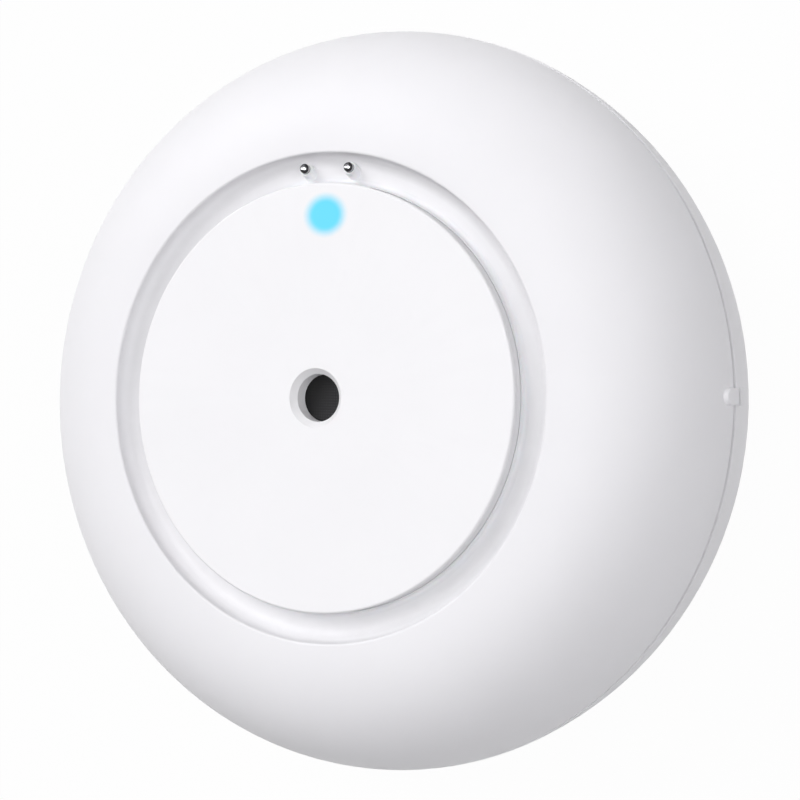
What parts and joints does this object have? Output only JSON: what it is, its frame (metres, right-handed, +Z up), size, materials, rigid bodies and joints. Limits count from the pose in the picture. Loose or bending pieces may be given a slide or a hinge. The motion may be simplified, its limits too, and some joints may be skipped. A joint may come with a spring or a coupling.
{
  "type": "water leak sensor",
  "caption": "Round water leak sensor puck with a drip gutter, upper probes, a press button disc with sound port and status light, and a twist-off base on metal probe feet.",
  "frame": {"origin": "on the floor plane under the centre of the round body, at the tips of the base probes", "axes": "+Z up out of the button face, +Y towards the two upper probes, +X towards the pair of nubs on the seam"},
  "size_m": [0.0805, 0.08, 0.028],
  "materials": {
    "housing_white": "fine matt moulded white plastic",
    "base_white": "fine matt moulded white plastic",
    "button_white": "fine matt white plastic, thin spot over the light",
    "seal_white": "soft white silicone",
    "gasket_grey": "soft grey silicone",
    "membrane_black": "black sound-passing membrane",
    "foam_grey": "closed foam with adhesive",
    "probe_metal": "bright plated pin",
    "chassis_white": "plain moulded plastic",
    "screw_steel": "plated steel",
    "board_green": "green solder mask",
    "cell_wrap": "plain dark wrap, bare metal nub",
    "contact_nickel": "nickel-plated spring sheet",
    "buzzer_black": "black moulded plastic",
    "piezo_brass": "brass sheet with ceramic layer",
    "led_white": "white package",
    "guide_clear": "clear moulded acrylic",
    "switch_black": "black tactile switch",
    "plunger_grey": "grey plunger",
    "pad_silicone": "translucent silicone",
    "shield_steel": "tinned shield can",
    "chip_black": "black moulded chip",
    "pin_gold": "gold-plated sprung pin",
    "probe_steel": "polished stainless steel"
  },
  "bodies": {
    "housing": {"top_housing": "housing_white", "button_seal": "seal_white", "housing_gasket": "gasket_grey", "upper_probes": "probe_metal", "probe_sleeves": "seal_white", "inner_chassis": "chassis_white", "chassis_screws": "screw_steel", "board_screws": "screw_steel", "circuit_board": "board_green", "battery_cell_left": "cell_wrap", "battery_cell_right": "cell_wrap", "positive_contact": "contact_nickel", "negative_contact": "contact_nickel", "link_contact": "contact_nickel", "buzzer_case": "buzzer_black", "piezo_disc": "piezo_brass", "status_led": "led_white", "light_guide": "guide_clear", "switch_body": "switch_black", "return_pads": "pad_silicone", "radio_module": "shield_steel", "main_chip": "chip_black", "spring_contacts": "pin_gold"},
    "button": {"button_disc": "button_white", "sound_membrane": "membrane_black", "membrane_ring": "foam_grey"},
    "plunger": {"switch_plunger": "plunger_grey"},
    "base": {"base_cover": "base_white", "base_probes": "probe_steel", "probe_gaskets": "gasket_grey", "probe_pads": "pin_gold"}
  },
  "joints": [
    {"name": "button_press", "type": "slide", "parent": "housing", "child": "button", "axis": [0, 0, -1], "range_m": [0, 0.0005], "stiffness_N_per_m": 4000, "springref_m": -0.0004, "deforming": ["return_pads"]},
    {"name": "switch_press", "type": "slide", "parent": "housing", "child": "plunger", "axis": [0, 0, -1], "range_m": [0, 0.0005]},
    {"name": "base_twist", "type": "hinge", "parent": "housing", "child": "base", "pos_m": [0, 0, 0.0148], "axis": [0, 0, 1], "range_deg": [0, 18]}
  ],
  "couplings": [
    {"joint": "switch_press", "follows": "button_press", "ratio": 1}
  ]
}
